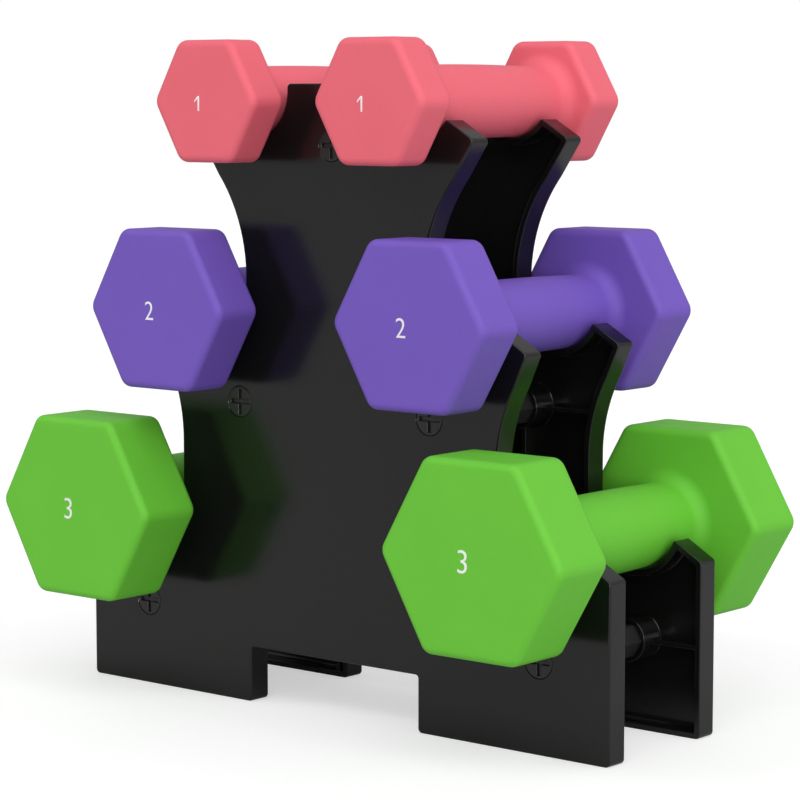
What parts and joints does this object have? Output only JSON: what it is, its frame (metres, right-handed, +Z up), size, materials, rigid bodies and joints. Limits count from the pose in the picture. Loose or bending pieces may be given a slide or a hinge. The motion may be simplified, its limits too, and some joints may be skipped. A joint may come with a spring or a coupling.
{
  "type": "dumbbell rack",
  "caption": "Free-standing two-panel rack with U-shaped cradles on both sides in three tiers, holding pairs of hexagonal vinyl-coated dumbbells that lift off.",
  "frame": {"origin": "centre of the footprint, on the floor under the feet", "axes": "+X to the right along the width of the panels, +Y from the front panel to the rear panel along the dumbbells, +Z up"},
  "size_m": [0.3328, 0.1798, 0.3077],
  "materials": {
    "panel_plastic": "satin black moulded plastic",
    "bar_plastic": "dark grey moulded plastic",
    "screw_black": "black finished steel",
    "cast_iron": "rough cast iron under the coat",
    "pink_vinyl": "matte fine-grained vinyl",
    "purple_vinyl": "matte fine-grained vinyl",
    "green_vinyl": "matte fine-grained vinyl"
  },
  "bodies": {
    "rack": {"front_panel": "panel_plastic", "rear_panel": "panel_plastic", "top_bar": "bar_plastic", "mid_left_bar": "bar_plastic", "mid_right_bar": "bar_plastic", "low_left_bar": "bar_plastic", "low_right_bar": "bar_plastic", "front_screws": "screw_black", "rear_screws": "screw_black"},
    "small_left": {"small_left_core": "cast_iron", "small_left_coat": "pink_vinyl"},
    "small_right": {"small_right_core": "cast_iron", "small_right_coat": "pink_vinyl"},
    "medium_left": {"medium_left_core": "cast_iron", "medium_left_coat": "purple_vinyl"},
    "medium_right": {"medium_right_core": "cast_iron", "medium_right_coat": "purple_vinyl"},
    "large_left": {"large_left_core": "cast_iron", "large_left_coat": "green_vinyl"},
    "large_right": {"large_right_core": "cast_iron", "large_right_coat": "green_vinyl"}
  },
  "joints": [
    {"name": "small_left_lift", "type": "slide", "parent": "rack", "child": "small_left", "axis": [-0.5, 0, 0.866], "range_m": [0, 0.12]},
    {"name": "small_right_lift", "type": "slide", "parent": "rack", "child": "small_right", "axis": [0.5, 0, 0.866], "range_m": [0, 0.12]},
    {"name": "medium_left_lift", "type": "slide", "parent": "rack", "child": "medium_left", "axis": [-0.5, 0, 0.866], "range_m": [0, 0.12]},
    {"name": "medium_right_lift", "type": "slide", "parent": "rack", "child": "medium_right", "axis": [0.5, 0, 0.866], "range_m": [0, 0.12]},
    {"name": "large_left_lift", "type": "slide", "parent": "rack", "child": "large_left", "axis": [-0.5, 0, 0.866], "range_m": [0, 0.12]},
    {"name": "large_right_lift", "type": "slide", "parent": "rack", "child": "large_right", "axis": [0.5, 0, 0.866], "range_m": [0, 0.12]}
  ]
}
